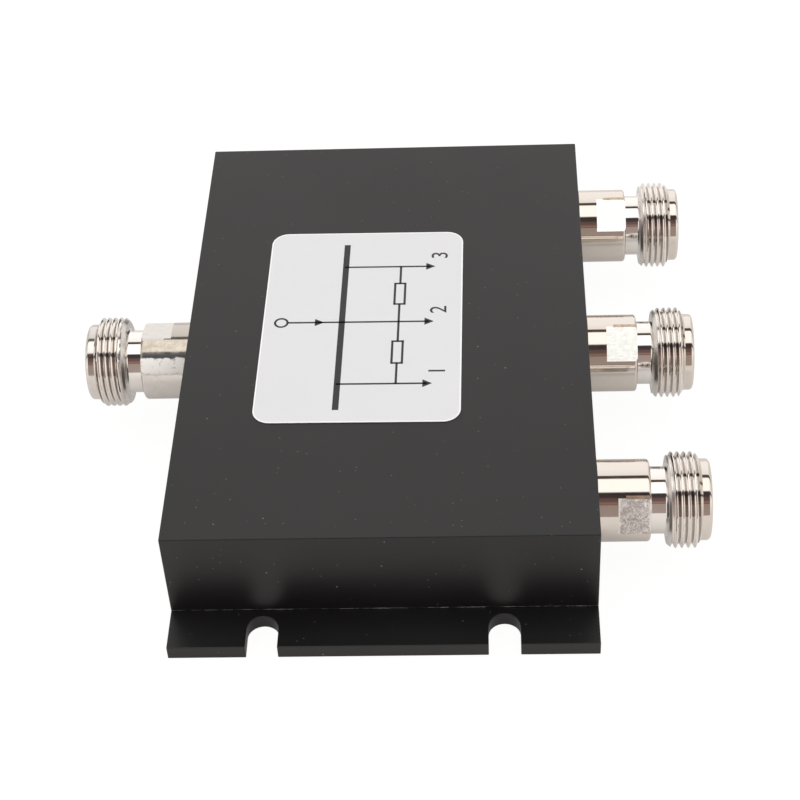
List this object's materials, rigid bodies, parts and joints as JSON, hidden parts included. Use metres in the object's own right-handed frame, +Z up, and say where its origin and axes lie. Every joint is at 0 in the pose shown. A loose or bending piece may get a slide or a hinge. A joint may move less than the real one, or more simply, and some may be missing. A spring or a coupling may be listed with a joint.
{
  "type": "rf power splitter",
  "caption": "Flat black box with a slotted mounting plate, a threaded coaxial input socket on one side and a row of threaded coaxial output sockets on the other.",
  "frame": {"origin": "middle of the base plate's underside", "axes": "+X from the input socket to the output sockets, +Y along the box from the front flange to the rear flange, +Z up through the label"},
  "size_m": [0.1072, 0.118, 0.02],
  "materials": {
    "black_anodised": "satin black anodised",
    "nickel_plate": "bright nickel plate",
    "gold_plate": "gold plate",
    "white_ptfe": "matt white",
    "screw_steel": "plain",
    "board_laminate": "matt laminate",
    "bare_copper": "bare copper",
    "chip_ceramic": "matt",
    "label_film": "matt film"
  },
  "bodies": {
    "root": {"housing": "black_anodised", "base_plate": "black_anodised", "base_screw_01": "screw_steel", "base_screw_02": "screw_steel", "base_screw_03": "screw_steel", "base_screw_04": "screw_steel", "base_screw_05": "screw_steel", "base_screw_06": "screw_steel", "base_screw_07": "screw_steel", "base_screw_08": "screw_steel", "base_screw_09": "screw_steel", "base_screw_10": "screw_steel", "input_socket_body": "nickel_plate", "output_1_socket_body": "nickel_plate", "output_2_socket_body": "nickel_plate", "output_3_socket_body": "nickel_plate", "input_insulator": "white_ptfe", "output_1_insulator": "white_ptfe", "output_2_insulator": "white_ptfe", "output_3_insulator": "white_ptfe", "input_contact": "gold_plate", "output_1_contact": "gold_plate", "output_2_contact": "gold_plate", "output_3_contact": "gold_plate", "circuit_board": "board_laminate", "board_screw_1": "screw_steel", "board_screw_2": "screw_steel", "board_screw_3": "screw_steel", "board_screw_4": "screw_steel", "board_screw_5": "screw_steel", "board_screw_6": "screw_steel", "copper_track": "bare_copper", "isolation_resistor_1": "chip_ceramic", "isolation_resistor_2": "chip_ceramic", "isolation_resistor_3": "chip_ceramic", "isolation_resistor_4": "chip_ceramic", "isolation_resistor_5": "chip_ceramic", "isolation_resistor_6": "chip_ceramic", "label": "label_film"}
  },
  "joints": []
}
